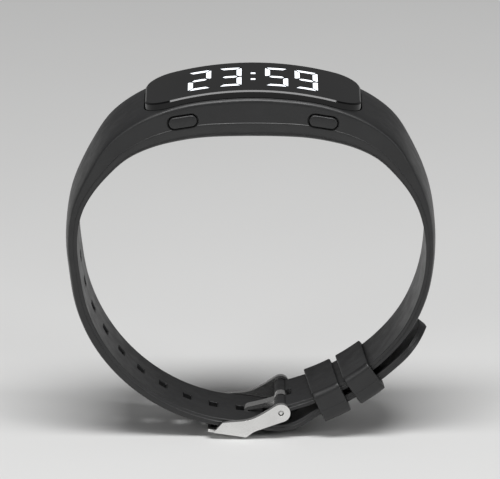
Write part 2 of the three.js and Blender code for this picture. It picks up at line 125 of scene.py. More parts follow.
class Nodes:
    """A small wrapper that builds a Principled material and its texture nodes."""

    def __init__(self, name, **values):
        self.material = bpy.data.materials.new(name)
        self.material.use_nodes = True
        self.tree = self.material.node_tree
        self.shader = self.tree.nodes["Principled BSDF"]
        for socket, value in values.items():
            self.shader.inputs[socket.replace("_", " ")].default_value = value
        self.coords = self.tree.nodes.new("ShaderNodeTexCoord").outputs["Object"]

    def link(self, source, target):
        self.tree.links.new(source, target)

    def noise(self, scale, detail=3.0, stretch=(1, 1, 1), roughness=0.55):
        """Noise with features about 1/scale metres across; stretch multiplies the scale on each axis."""
        mapping = self.tree.nodes.new("ShaderNodeMapping")
        mapping.inputs["Scale"].default_value = stretch
        self.link(self.coords, mapping.inputs["Vector"])
        texture = self.tree.nodes.new("ShaderNodeTexNoise")
        texture.inputs["Scale"].default_value = scale
        texture.inputs["Detail"].default_value = detail
        texture.inputs["Roughness"].default_value = roughness
        self.link(mapping.outputs["Vector"], texture.inputs["Vector"])
        return texture.outputs["Fac"]

    def voronoi(self, scale):
        texture = self.tree.nodes.new("ShaderNodeTexVoronoi")
        texture.inputs["Scale"].default_value = scale
        self.link(self.coords, texture.inputs["Vector"])
        return texture.outputs["Distance"]

    def ramp(self, factor, low, high, start=0.3, end=0.7):
        """Maps a factor to colours or greys between low and high."""
        node = self.tree.nodes.new("ShaderNodeValToRGB")
        for element, place, value in zip(node.color_ramp.elements, (start, end), (low, high)):
            element.position = place
            element.color = (*value, 1) if hasattr(value, "__len__") else (value, value, value, 1)
        self.link(factor, node.inputs["Fac"])
        return node.outputs["Color"]

    def colour(self, factor, low, high):
        self.link(self.ramp(factor, low, high), self.shader.inputs["Base Color"])

    def gloss(self, factor, low, high):
        self.link(self.ramp(factor, low, high), self.shader.inputs["Roughness"])

    def bump(self, *layers):
        """Each layer is (factor, strength, height in metres)."""
        normal = None
        for factor, strength, height in layers:
            node = self.tree.nodes.new("ShaderNodeBump")
            node.inputs["Strength"].default_value = strength
            node.inputs["Distance"].default_value = height
            self.link(factor, node.inputs["Height"])
            if normal is not None:
                self.link(normal, node.inputs["Normal"])
            normal = node.outputs["Normal"]
        self.link(normal, self.shader.inputs["Normal"])


def rubber_material():
    m = Nodes("rubber", Specular_IOR_Level=0.65)
    m.colour(m.noise(160, 5), (0.0085, 0.0087, 0.0092), (0.013, 0.0132, 0.0138))
    m.gloss(m.noise(420, 4), 0.38, 0.5)
    m.bump((m.noise(2600, 3, roughness=0.6), 0.35, 0.00004), (m.voronoi(5200), 0.25, 0.00003))
    return m.material


def lens_material(name="lens"):
    m = Nodes(name, Specular_IOR_Level=0.32)
    m.colour(m.noise(90, 2), (0.0015, 0.0015, 0.0017), (0.0025, 0.0025, 0.0028))
    m.gloss(m.noise(140, 5), 0.06, 0.1)
    m.bump((m.noise(60, 2), 0.04, 0.00002))
    return m.material


def numeral_material():
    m = Nodes("numerals", Roughness=0.25, Coat_Weight=0.6, Coat_Roughness=0.04)
    m.shader.inputs["Emission Color"].default_value = (0.9, 0.95, 1.0, 1)
    m.shader.inputs["Emission Strength"].default_value = 1.6
    m.colour(m.noise(900, 3), (0.82, 0.85, 0.9), (0.92, 0.94, 0.97))
    m.bump((m.noise(2500, 2), 0.05, 0.00002))
    return m.material


def steel_material():
    m = Nodes("steel", Metallic=1.0)
    brushed = m.noise(2600, 3, stretch=(0.12, 1.0, 3.0))
    m.colour(m.noise(260, 3), (0.76, 0.755, 0.745), (0.83, 0.825, 0.815))
    m.gloss(brushed, 0.2, 0.28)
    m.bump((brushed, 0.05, 0.000008))
    return m.material


def plain_material(
    name, low, high, roughness, metallic=0.0, grain=1500, depth=0.00002, stretch=(1, 1, 1)
):
    """A moulded, plated or printed finish: mottled colour, uneven gloss and a fine grain."""
    m = Nodes(name, Metallic=metallic)
    m.colour(m.noise(grain / 6, 4), low, high)
    m.gloss(m.noise(grain / 3, 3), *roughness)
    m.bump((m.noise(grain, 3, stretch=stretch), 0.3, depth))
    return m.material


def board_material():
    """Green solder mask with raised tracks."""
    m = Nodes("board", Specular_IOR_Level=0.5)
    tracks = m.tree.nodes.new("ShaderNodeTexBrick")
    tracks.inputs["Scale"].default_value = 420
    tracks.inputs["Mortar Size"].default_value = 0.06
    tracks.inputs["Color1"].default_value = (0.008, 0.06, 0.028, 1)
    tracks.inputs["Color2"].default_value = (0.011, 0.075, 0.036, 1)
    tracks.inputs["Mortar"].default_value = (0.02, 0.12, 0.06, 1)
    m.link(m.coords, tracks.inputs["Vector"])
    m.link(tracks.outputs["Color"], m.shader.inputs["Base Color"])
    m.gloss(m.noise(800, 3), 0.3, 0.45)
    m.bump((tracks.outputs["Fac"], 0.3, 0.00003))
    return m.material


MATERIALS = {
    "rubber": rubber_material(),
    "lens": lens_material(),
    "numerals": numeral_material(),
    "steel": steel_material(),
    "plastic": plain_material("plastic", (0.014, 0.014, 0.015), (0.024, 0.024, 0.026), (0.38, 0.55)),
    "foam": plain_material(
        "foam", (0.02, 0.02, 0.022), (0.045, 0.045, 0.048), (0.85, 0.98), grain=3000, depth=0.00008
    ),
    "board": board_material(),
    "chip": plain_material("chip", (0.012, 0.012, 0.013), (0.022, 0.022, 0.024), (0.4, 0.6), grain=4000),
    "plated": plain_material(
        "plated", (0.55, 0.55, 0.53), (0.68, 0.68, 0.66), (0.3, 0.48), 1.0, 900, stretch=(1, 6, 1)
    ),
    "battery_wrap": plain_material(
        "battery_wrap", (0.52, 0.53, 0.55), (0.66, 0.67, 0.69), (0.3, 0.5), 1.0, 500, depth=0.00006
    ),
    "gold": plain_material("gold", (0.78, 0.56, 0.2), (0.88, 0.68, 0.3), (0.16, 0.3), 1.0, 1200),
}

# ---- Mesh helpers ---------------------------------------------------------------------------


def new_object(name, vertices, faces):
    """A mesh object in millimetres, with its faces turned outwards."""
    mesh = bpy.data.meshes.new(name)
    mesh.from_pydata([tuple(map(float, v)) for v in vertices], [], faces)
    bm = bmesh.new()
    bm.from_mesh(mesh)
    bmesh.ops.recalc_face_normals(bm, faces=bm.faces)
    bm.to_mesh(mesh)
    bm.free()
    obj = bpy.data.objects.new(name, mesh)
    bpy.context.scene.collection.objects.link(obj)
    return obj


def stack(name, loops, zipped=False):
    """Closed loops of the same number of points, joined by quads; the two end loops are filled,
    by strips across each loop if zipped, and by one face each if not."""
    loops = [np.asarray(loop, float) for loop in loops]
    count = len(loops[0])
    faces = []
    for i in range(len(loops) - 1):
        for j in range(count):
            k = (j + 1) % count
            faces.append((i * count + j, i * count + k, (i + 1) * count + k, (i + 1) * count + j))
    for start in (0, (len(loops) - 1) * count):
        if not zipped:
            faces.append(tuple(range(start, start + count)))
            continue
        for j in range(count // 2 - 1):
            faces.append((start + j, start + j + 1, start + count - 2 - j, start + count - 1 - j))
    return new_object(name, np.vstack(loops), faces)


def applied(obj):
    """Applies the object's modifiers to its mesh."""
    graph = bpy.context.evaluated_depsgraph_get()
    mesh = bpy.data.meshes.new_from_object(obj.evaluated_get(graph))
    obj.modifiers.clear()
    old = obj.data
    obj.data = mesh
    bpy.data.meshes.remove(old)
    return obj


def combine(obj, other, operation, solver="MANIFOLD"):
    """Applies a boolean with another object, which is used up."""
    modifier = obj.modifiers.new("combine", "BOOLEAN")
    modifier.operation = operation
    modifier.solver = solver
    modifier.object = other
    applied(obj)
    bpy.data.objects.remove(other)
    return obj


def bevel(obj, width, segments=3, angle=35):
    """Merges flat faces back together, then rounds the edges sharper than the angle."""
    bm = bmesh.new()
    bm.from_mesh(obj.data)
    bmesh.ops.remove_doubles(bm, verts=bm.verts, dist=1e-4)
    bmesh.ops.dissolve_limit(bm, angle_limit=math.radians(0.4), verts=bm.verts, edges=bm.edges)
    bm.to_mesh(obj.data)
    bm.free()
    modifier = obj.modifiers.new("bevel", "BEVEL")
    modifier.width = width
    modifier.segments = segments
    modifier.limit_method = "ANGLE"
    modifier.angle_limit = math.radians(angle)
    modifier.miter_outer = "MITER_ARC"
    return applied(obj)


def finished(obj, name, body, slot, *nodes, sharp=32):
    """Scales the piece to metres, shades it, gives it its body and finish, and hides the CAD nodes it
    stands in for.
    """
    obj.name = name
    mesh = obj.data
    mesh.transform(Matrix.Scale(MM, 4))
    mesh.materials.clear()
    mesh.materials.append(MATERIALS[slot])
    mesh.polygons.foreach_set("material_index", [0] * len(mesh.polygons))
    mesh.shade_smooth()
    mesh.set_sharp_from_angle(angle=math.radians(sharp))
    weighted = obj.modifiers.new("weighted_normals", "WEIGHTED_NORMAL")
    weighted.keep_sharp = True
    applied(obj)
    obj.data.name = name
    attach(obj, body)
    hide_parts(*nodes)
    return obj


def rounded_rect(half_x, half_y, radius, side=10, corner=8):
    """A rounded rectangle about the origin, symmetric about y = 0, starting just above it at +X."""
    radius = min(radius, half_x - 1e-3, half_y - 1e-3)
    points = [(half_x, (half_y - radius) * (i + 0.5) / side) for i in range(side)]
    for i in range(corner + 1):
        a = math.pi / 2 * i / corner
        points.append((half_x - radius + radius * math.cos(a), half_y - radius + radius * math.sin(a)))
    points += [((half_x - radius) * (1 - 2 * (i + 1) / (4 * side)), half_y) for i in range(4 * side - 1)]
    points += [(-x, y) for x, y in reversed(points[: side + corner + 1])]
    points += [(x, -y) for x, y in reversed(points)]
    return np.array(points)


def quarter(steps):
    """Angles over a right angle."""
    return np.linspace(0, math.pi / 2, steps + 1)


def lathe(name, profile, axis_point, axis, segments=64):
    """A turned piece: (radius, height) pairs from axis to axis, standing on a point."""
    axis = Vector(axis).normalized()
    basis = axis.to_track_quat("Z", "Y").to_matrix()
    loops = []
    for radius, height in profile:
        loop = []
        for i in range(segments):
            a = 2 * math.pi * (i + 0.5) / segments
            local = Vector((max(radius, 0.004) * math.cos(a), max(radius, 0.004) * math.sin(a), height))
            loop.append(Vector(axis_point) + basis @ local)
        loops.append(loop)
    return stack(name, loops)


# ---- Band -----------------------------------------------------------------------------------


def case_stations(side, lean):
    """One flank of the module: skin-side x and z, then edge radius, side height, half width,
    rise of the outer face and its squareness."""
    foot = [
        (30.9, 8.8, 0.5, 1.5, 9.85, 0.8, 2.6),
        (28.8, 12.7, 0.8, 2.0, 9.95, 0.8, 2.8),
        (25.9, 16.1, 1.2, 3.05, CASE_HALF_WIDTH, 0.85, 3.2),
        (22.7, 18.9, 1.7, 4.3, CASE_HALF_WIDTH, 0.9, 4.0),
        (18.3, 20.9, 2.3, 5.25, CASE_HALF_WIDTH, 1.2, 3.6),
        (13.7, 22.0, 2.8, 5.85, CASE_HALF_WIDTH, 1.6, 3.6),
        (9.1, 22.65, 3.0, 6.2, CASE_HALF_WIDTH, 1.65, 3.6),
    ]
    return [(side * (x - lean * (1 - z / CASE_INNER_Z)), z, *section) for x, z, *section in foot]


def short_strap_stations():
    rows = []
    for degrees in (14.5, 22, 30, 38, 46, 54):
        widen = smoothstep(degrees, 40, 62)
        x, z = on_arc(SHORT_STRAP_R - 0.5 * widen, degrees)
        side, half_width = 1.15 + 0.1 * widen, TAIL_HALF_WIDTH + 0.5 * widen
        rows.append((x, z, 0.2, side, half_width, 0.5 + 0.15 * widen, 2.4))
    return rows + [
        (29.75, -8, 0.2, 1.25, 8.2, 0.65, 2.4),
        (31, -2.6, 0.25, 1.05, 8.9, 0.7, 2.4),
        (31.2, 3.2, 0.3, 1.1, 9.5, 0.75, 2.4),
    ]


def long_strap_stations():
    rows = []
    for degrees in (94, 106, 118, 130, 142, 154, 166, 178):
        narrow = smoothstep(degrees, 80, 170)
        angle = math.radians(degrees)
        x, z = -WRIST_RADIUS * math.sin(angle), WRIST_RADIUS * math.cos(angle)
        thicken = smoothstep(degrees, 96, 114) * (1 - smoothstep(degrees, 156, 176))
        side = 1.4 - 0.25 * narrow + 0.35 * thicken
        edge, half_width, rise = 0.25 - 0.05 * narrow, 9.6 - 2.2 * narrow, 0.8 - 0.25 * narrow
        rows.append((x, z, edge, side, half_width, rise, 2.4))
    bowed = [(8, 0.3), (12.5, 1.05), (16.5, 1.05), (20.5, 0.15)]
    for degrees, bow in [*bowed, (25, 0), (32, 0), (39, 0), (45, 0.1), (50, 0.3), (55.2, 0.45)]:
        x, z = on_arc(LONG_STRAP_R + bow, degrees)
        rows.append((x, z, 0.2, 1.15, TAIL_HALF_WIDTH, 0.55, 2.4))
    return rows


STATIONS = np.array(
    [
        *short_strap_stations(),
        *case_stations(1, 1.3),
        (0, CASE_INNER_Z, 3.1, 6.75, CASE_HALF_WIDTH, 1.65, 3.6),
        *case_stations(-1, 0)[::-1],
        (-31.75, 3.2, 0.3, 1.4, 9.75, 0.8, 2.4),
        *long_strap_stations(),
    ]
)


def spline(points, t):
    """A centripetal Catmull-Rom curve through the points, at parameters from 0 to 1."""
    padded = np.vstack([2 * points[0] - points[1], points, 2 * points[-1] - points[-2]])
    place = np.clip(t * (len(points) - 1), 0, len(points) - 1 - 1e-9)
    i = place.astype(int)
    w = (place - i)[:, None]
    p0, p1, p2, p3 = (padded[i + k] for k in range(4))
    pairs = ((p0, p1), (p1, p2), (p2, p3))
    d0, d1, d2 = (np.sqrt(np.linalg.norm(b - a, axis=1))[:, None] for a, b in pairs)
    m1 = ((p1 - p0) / d0 - (p2 - p0) / (d0 + d1) + (p2 - p1) / d1) * d1
    m2 = ((p2 - p1) / d1 - (p3 - p1) / (d1 + d2) + (p3 - p2) / d2) * d1
    return p1 + m1 * w + (3 * (p2 - p1) - 2 * m1 - m2) * w**2 + (2 * (p1 - p2) + m1 + m2) * w**3


def blurred(values, sigma, spacing, mirror):
    """Gaussian smoothing of each column; ends are padded by their mirror image, turned over if
    mirror."""
    reach = int(4 * sigma / spacing)
    kernel = np.exp(-0.5 * (np.arange(-reach, reach + 1) * spacing / sigma) ** 2)
    kernel /= kernel.sum()
    head, tail = values[reach:0:-1], values[-2 : -reach - 2 : -1]
    if mirror:
        head, tail = 2 * values[0] - head, 2 * values[-1] - tail
    padded = np.vstack([head, values, tail])
    return np.stack([np.convolve(column, kernel, "valid") for column in padded.T], axis=1)


class Skin:
    """The band's skin-side line with its sections, by distance along it."""

    SPACING = 0.05

    def __init__(self):
        t = np.linspace(0, 1, 8001)
        line = spline(STATIONS[:, :2], t)
        run = np.concatenate([[0], np.cumsum(np.linalg.norm(np.diff(line, axis=0), axis=1))])
        self.length = run[-1]
        self.at = np.arange(0, self.length, self.SPACING)
        place = np.interp(self.at, run, t) * (len(STATIONS) - 1)
        numbers = range(len(STATIONS))
        sections = np.stack([np.interp(place, numbers, c) for c in STATIONS[:, 2:].T], axis=1)
        self.line = np.stack([np.interp(self.at, run, c) for c in line.T], axis=1)
        self.line = blurred(self.line, 1.0, self.SPACING, True)
        self.sections = blurred(sections, 2.2, self.SPACING, False)
        self.along = np.gradient(self.line, axis=0)
        self.along /= np.linalg.norm(self.along, axis=1)[:, None]

    def frame(self, distance):
        """The point, direction along and direction outwards, each (x, z)."""
        point = np.array([np.interp(distance, self.at, c) for c in self.line.T])
        along = np.array([np.interp(distance, self.at, c) for c in self.along.T])
        along /= np.linalg.norm(along)
        return point, along, np.array([along[1], -along[0]])

    def section(self, distance):
        return np.array([np.interp(distance, self.at, c) for c in self.sections.T])

    def place(self, distance, points):
        """(along, across, outwards) points in the frame at a distance, as 3-D points."""
        point, along, out = self.frame(distance)
        spots = []
        for u, v, w in points:
            x, z = point + along * u + out * w
            spots.append((x, v, z))
        return spots

    def distance_to(self, x):
        """Distance to the place nearest an X on the fastened part of the long strap."""
        far = (self.at > 0.6 * self.length) & (self.line[:, 1] < 0)
        return self.at[far][np.argmin(np.abs(self.line[far, 0] - x))]


skin = Skin()


def cross_section(edge, side, half_width, rise, squareness, ridge):
    """(across, outwards) points round the band: rounded skin-side edges, side faces with a fine
    moulding line, and a crowned outer face."""
    half = [(half_width - edge + edge * math.sin(a), edge - edge * math.cos(a)) for a in quarter(7)]
    line = edge + 0.12 + 0.31 * min(max(1.2 - edge, 0), 1)
    half += [(half_width, line - 0.07), (half_width + ridge, line), (half_width, line + 0.07)]
    power = squareness / (2 * (squareness - 1))
    for normal in np.radians(np.linspace(0, 84, 15)):
        t = math.atan((rise / half_width * math.tan(normal)) ** power)
        across = half_width * math.cos(t) ** (2 / squareness)
        half.append((across, side + rise * math.sin(t) ** (2 / squareness)))
    last = half[-1][0]
    for share in (0.8, 0.6, 0.4, 0.2, 0):
        across = last * share
        height = rise * (1 - (across / half_width) ** squareness) ** (1 / squareness)
        half.append((across, side + height))
    return half + [(-across, height) for across, height in reversed(half[:-1])]


def band_loft():
    """The whole band as one skin, closing to a rounded tip at the tail."""
    steps = np.arange(0, skin.length - TIP_LENGTH, LOFT_STEP)
    tip = skin.length - TIP_LENGTH * (1 - 0.9985 * np.sin(quarter(22)))
    rings = []
    for distance in np.concatenate([steps[:-1], tip]):
        section = skin.section(distance)
        past = max(0.0, 1 - (skin.length - distance) / TIP_LENGTH)
        section[2] *= math.sqrt(1 - past**2)
        section[0] = min(section[0], section[2] / 2)
        loop = [(0, across, height) for across, height in cross_section(*section, MOULDING_RIDGE)]
        rings.append(skin.place(distance, loop))
    return stack("band", rings)


def flared_hole(distance, length, across):
    """A rounded slot through the strap, with its rims eased."""
    section = skin.section(distance)
    depth = section[1] + section[3]
    ease = STRAP_HOLE_EASE
    levels = [(-0.5, ease), (0, ease)]
    levels += [(ease * math.sin(a), ease * math.cos(a)) for a in quarter(4)[1:]]
    levels += [(depth - ease * math.sin(a), ease * math.cos(a)) for a in quarter(4)[::-1]]
    levels += [(depth + 0.6, ease)]
    loops = []
    for height, grow in levels:
        corner = STRAP_HOLE_CORNER + grow
        outline = rounded_rect(length / 2 + grow, across / 2 + grow, corner, side=2, corner=5)
        loops.append(skin.place(distance, [(u, v, height) for u, v in outline]))
    return stack("hole", loops)


def joined(objects):
    """Several separate meshes as one object."""
    bm = bmesh.new()
    for obj in objects:
        bm.from_mesh(obj.data)
    first = objects[0]
    bm.to_mesh(first.data)
    bm.free()
    for obj in objects[1:]:
        bpy.data.objects.remove(obj)
    return first


def arch(x, radius):
    return ARCH_Z + np.sqrt(radius**2 - x**2)


def button_loop(side, y, grow, circle=None):
    """The tilted outline of a button at a depth y, or a round one of a given radius for its stem."""
    half_z = BUTTON_HEIGHT / 2 + grow
    if circle is None:
        outline = rounded_rect(BUTTON_LENGTH / 2 + grow, half_z, min(half_z * 0.98, 1.1 + grow), side=3)
    else:
        outline = rounded_rect(circle, circle, circle, side=3)
    tilt = math.radians(side * BUTTON_TILT)
    drop = 0 if circle is None else -0.3
    loop = []
    for u, v in outline:
        x = u * math.cos(tilt) + v * math.sin(tilt)
        z = -u * math.sin(tilt) + v * math.cos(tilt)
        loop.append((side * BUTTON_X + x, y, BUTTON_Z + z + drop))
    return loop


def button_pocket(side):
    """The opening in the module's wall, with an eased rim and a wider seat for the flange."""
    face, ease = -CASE_HALF_WIDTH, 0.12
    loops = [button_loop(side, face - 1, BUTTON_GAP + ease)]
    for a in quarter(4):
        loops.append(button_loop(side, face + ease * math.sin(a), BUTTON_GAP + ease * math.cos(a)))
    loops += [button_loop(side, y, grow) for y, grow in ((-9.15, BUTTON_GAP), (-9.15, 0.5), (-7.9, 0.5))]
    return stack("pocket", loops)


def plan_prism(half_x, half_y, corner, low, high, ease=0.0):
    """A rounded plan raised between two heights, which may depend on x; its top flares by ease."""
    loops = []
    outline = rounded_rect(half_x, half_y, corner)
    for height in (low, high):
        z = height(outline[:, 0]) if callable(height) else np.full(len(outline), height)
        loops.append(np.column_stack([outline, z]))
    if ease:
        wide = rounded_rect(half_x + ease, half_y + ease, corner + ease)
        loops.insert(1, np.column_stack([outline, loops[1][:, 2] - ease]))
        loops[2] = np.column_stack([wide, loops[2][:, 2]])
        loops.append(np.column_stack([wide, loops[2][:, 2] + 3]))
    return stack("prism", loops, zipped=True)


def rod(radius, y0, y1, ease=0.0, x=PIN[0], z=PIN[1]):
    """A cylinder along Y about the pin, with rounded ends."""
    profile = [(0, 0)]
    profile += [(radius - ease + ease * math.sin(a), ease - ease * math.cos(a)) for a in quarter(4)]
    length = y1 - y0
    profile += [(r, length - h) for r, h in reversed(profile)]
    return lathe("rod", profile, (x, y0, z), (0, 1, 0))


def band_moulding():
    band = band_loft()
    combine(band, rod(KNUCKLE_R, -TAIL_HALF_WIDTH, TAIL_HALF_WIDTH, 0.2), "UNION")
    combine(band, rod(BORE_R, -12, 12), "DIFFERENCE")
    slot_y = TONGUE_HALF + 0.25
    loops = []
    for height, grow in ((-1.45, 0), (0.7, 0), (1.05, 0.12), (2.6, 0.12)):
        outline = rounded_rect(1.9 + grow, slot_y + grow, 0.25 + grow, side=2, corner=5)
        loops.append([(PIN[0] - 0.1 + u, v, PIN[1] + height) for u, v in outline])
    combine(band, stack("slot", loops), "DIFFERENCE")
    plan = [size + LENS_GAP for size in (LENS_HALF_X, LENS_HALF_Y, LENS_CORNER)]
    combine(band, plan_prism(*plan, lambda x: arch(x, SEAT_R), 40), "DIFFERENCE")
    combine(band, plan_prism(*MODULE_POCKET, MODULE_POCKET_FLOOR, 40), "DIFFERENCE")
    combine(band, plan_prism(*PAD_OPENING, 20.0, 30), "DIFFERENCE")
    fastened = skin.distance_to(PIN[0] - TONGUE_HOLE_AHEAD)
    holes = [flared_hole(fastened + TONGUE_PULL / 2, HOLE_ALONG + TONGUE_PULL, HOLE_ACROSS)]
    for i in range(-HOLES_COVERED, HOLES_FREE + 1):
        if i != 0:
            holes.append(flared_hole(fastened - i * HOLE_PITCH, HOLE_ALONG, HOLE_ACROSS))
    combine(band, joined(holes), "DIFFERENCE")
    for side in (-1, 1):
        combine(band, button_pocket(side), "DIFFERENCE")
    finished(band, "band_moulding", "band", "rubber", "band_body", sharp=38)


# ---- Module ---------------------------------------------------------------------------------


def lens_cover():
    """The curved black cover: crowned top, polished bevel, straight side, and hollow underneath."""
    ease = 0.26

    def loop(inset, radius, lift=0.0):
        half_x, half_y = LENS_HALF_X - inset, LENS_HALF_Y - inset
        outline = rounded_rect(half_x, half_y, max(LENS_CORNER - inset, 0.6), side=16, corner=14)
        return np.column_stack([outline, arch(outline[:, 0], radius) + lift])

    centre = LENS_HALF_Y - 0.05
    top = [loop(inset, LENS_TOP_R) for inset in (centre, 7.5, 5.5, 3.8, 2.4, 1.4, 0.8, 0.5)]
    edge = [loop(ease * (1 - s), LENS_TOP_R, -ease * s) for s in (0, 0.5, 1)]
    low = LENS_TOP_R - LENS_HEIGHT
    roof = LENS_TOP_R - LENS_ROOF
    rim = [loop(0, low, 0.12), loop(0.12, low), loop(LENS_WALL - 0.05, low), loop(LENS_WALL, low, 0.05)]
    under = [loop(inset, roof) for inset in (LENS_WALL, 2.4, 5.5, centre)]
    cover = stack("lens", top + edge + rim + under, zipped=True)
    finished(cover, "lens_cover", "band", "lens", "display_lens")


# Segments lit in each numeral: a top, b and c right, d bottom, e and f left, g middle.
SEGMENTS = {"2": "abged", "3": "abgcd", "5": "afgcd", "9": "abcdfg"}
DIGITS = [("2", -9.65), ("3", -4.15), ("5", 4.25), ("9", 9.6)]
DIGIT_HALF_X, DIGIT_HALF_Y, STROKE_X, STROKE_Y = 2.05, 5.7, 0.85, 0.95
GAP_X, GAP_Y = 0.08, 0.45


def segment_outlines(lit):
    """Outlines (x, y) of a numeral's lit segments, with slanted ends and narrow gaps."""
    x1, x0 = DIGIT_HALF_X, DIGIT_HALF_X - STROKE_X
    y1, y0, ym = DIGIT_HALF_Y, DIGIT_HALF_Y - STROKE_Y, STROKE_Y / 2
    shapes = {
        "a": [(-x1 + 0.3, y1), (x1 - 0.3, y1), (x0 - GAP_X, y0), (-x0 + GAP_X, y0)],
        "g": [
            (-x0 - 0.1, 0), (-x0 + 0.3, ym), (x0 - 0.3, ym),
            (x0 + 0.1, 0), (x0 - 0.3, -ym), (-x0 + 0.3, -ym),
        ],
        "b": [(x1, y1 - GAP_Y), (x1, GAP_Y), (x1 - 0.3, GAP_Y), (x0, ym + GAP_Y), (x0, y0 - GAP_Y)],
    }
    mirror = {"d": ("a", 1, -1), "c": ("b", 1, -1), "f": ("b", -1, 1), "e": ("b", -1, -1)}
    outlines = []
    for name in lit:
        source, sx, sy = mirror.get(name, (name, 1, 1))
        outlines.append([(x * sx, y * sy) for x, y in shapes[source]])
    return outlines


def inlay(outline, x_shift):
    """A thin light window flush with the cover's arch, following it along X."""
    bm = bmesh.new()
    face = bm.faces.new([bm.verts.new((x + x_shift, y, 0)) for x, y in outline])
    if face.normal.z < 0:
        face.normal_flip()
    low, high = min(x for x, _ in outline), max(x for x, _ in outline)
    for cut in np.arange(low + 0.25, high, 0.25):
        geometry = bm.verts[:] + bm.edges[:] + bm.faces[:]
        bmesh.ops.bisect_plane(bm, geom=geometry, plane_co=(cut + x_shift, 0, 0), plane_no=(1, 0, 0))
    top = bm.faces[:]
    extruded = bmesh.ops.extrude_face_region(bm, geom=top)
    raised = {v for v in extruded["geom"] if isinstance(v, bmesh.types.BMVert)}
    for vertex in bm.verts:
        z = float(arch(vertex.co.x, LENS_TOP_R))
        vertex.co.z = z + (0.008 if vertex in raised else -0.25)
    bmesh.ops.recalc_face_normals(bm, faces=bm.faces)
    mesh = bpy.data.meshes.new("inlay")
    bm.to_mesh(mesh)
    bm.free()
    obj = bpy.data.objects.new("inlay", mesh)
    bpy.context.scene.collection.objects.link(obj)
    return obj


def numerals():
    for i, (digit, x) in enumerate(DIGITS):
        shapes = [inlay(outline, x) for outline in segment_outlines(SEGMENTS[digit])]
        finished(joined(shapes), f"numeral_{i + 1}", "band", "numerals", f"digit_diffuser_{i + 1}")
    dots = []
    dot = rounded_rect(0.42, 0.42, 0.15, side=2, corner=4)
    for y in (-1.9, 1.9):
        dots.append(inlay([(u, v + y) for u, v in dot], 0.0))
    finished(joined(dots), "numeral_colon", "band", "numerals", "colon_diffuser")


def button_cap(side, name):
    """A rubber key: a softly rounded cap, a retaining flange and a short stem."""
    face, ease = -CASE_HALF_WIDTH - BUTTON_PROUD, 0.28
    loops = [button_loop(side, face - 0.04, -BUTTON_HEIGHT / 2 + 0.03)]
    loops += [button_loop(side, face - 0.03, -0.75), button_loop(side, face - 0.015, -0.45)]
    for a in quarter(5):
        loops.append(button_loop(side, face + ease - ease * math.cos(a), ease * math.sin(a) - ease))
    loops += [button_loop(side, y, grow) for y, grow in ((-9.05, 0), (-9.05, 0.35), (-8.65, 0.35))]
    loops += [button_loop(side, y, 0, circle=0.7) for y in (-8.65, -7.35)]
    finished(stack("button", loops), f"button_cap_{name}", f"button_{name}", "rubber", f"button_{name}")


def sensor_face():
    """The optical window and the two charging contacts on the skin side."""
    profile = [(0, 0.03), (1.2, 0.015), (1.9, 0)]
    profile += [(2.1 + 0.25 * math.sin(a), 0.25 - 0.25 * math.cos(a)) for a in quarter(5)]
    profile += [(2.35, 0.7), (3, 0.7), (3, 1.0), (0, 1.0)]
    window = lathe("window", profile, (0, 0, 22.5), (0, 0, 1), 96)
    finished(window, "sensor_glass", "band", "lens", "sensor_window")
    for side, name in ((-1, "left"), (1, "right")):
        profile = [(0, 0)]
        profile += [(0.28 + 0.12 * math.sin(a), 0.12 - 0.12 * math.cos(a)) for a in quarter(4)]
        profile += [(0.4, 0.9), (0.6, 0.9), (0.6, 1.4), (0, 1.4)]
        pin = lathe("contact", profile, (side * CONTACT_X, 0, 22.3), (0, 0, 1), 48)
        finished(pin, f"contact_pin_{name}", "band", "gold", f"charge_contact_{name}")


# ---- Buckle and keepers ---------------------------------------------------------------------


def bezier(p0, p1, p2, p3=None, steps=14):
    """Points after the start of a quadratic or cubic curve."""
    points = []
    for t in np.linspace(0, 1, steps + 1)[1:]:
        if p3 is None:
            weights = ((1 - t) ** 2, 2 * t * (1 - t), t**2)
        else:
            weights = ((1 - t) ** 3, 3 * t * (1 - t) ** 2, 3 * t**2 * (1 - t), t**3)
        points.append(sum(w * np.array(p, float) for w, p in zip(weights, (p0, p1, p2, p3))))
    return points


def arc(radius, start, end, steps=24):
    angles = np.radians(np.linspace(start, end, steps + 1))
    return [np.array([radius * math.cos(a), radius * math.sin(a)]) for a in angles]


def plate(outline, y0, y1):
    """An outline about the pin, given thickness along Y."""
    loops = [[(PIN[0] + x, y, PIN[1] + z) for x, z in outline] for y in (y0, y1)]
    return stack("plate", loops)


def ear_outline():
    points = arc(EAR_END, -75, 125)
    points += bezier(points[-1], (-2.6, 0.3), (-4.2, -0.8), (-5.6, -1.25))
    points += bezier(points[-1], (-7.2, -1.75), (-9.2, -1.6), (-10.7, -1.9))
    points += [np.array(p) for p in ((-12.3, -3.75), (-6.45, -4.63))]
    points += bezier((-6.45, -4.63), (-6.25, -4.6), (-6.05, -4.42), steps=4)
    points += bezier((-5.6, -4.05), (-4.95, -3.52), (-4.1, -3.25), steps=8)
    return points


def buckle():
    inside = TAIL_HALF_WIDTH + EAR_GAP
    outside = inside + EAR_THICKNESS
    crossbar = [(-13.3, -3.05), (-13.3, -3.6), (-8, -4.4), (-7.8, -3.8)]
    body = plate(crossbar, -outside + 0.2, outside - 0.2)
    for side in (-1, 1):
        ear = plate(ear_outline(), side * inside, side * outside)
        combine(body, ear, "UNION", "EXACT")
    combine(body, rod(EAR_HOLE, -12, 12), "DIFFERENCE", "EXACT")
    bevel(body, 0.22)
    finished(body, "buckle_body", "buckle_frame", "steel", "buckle_frame", sharp=25)


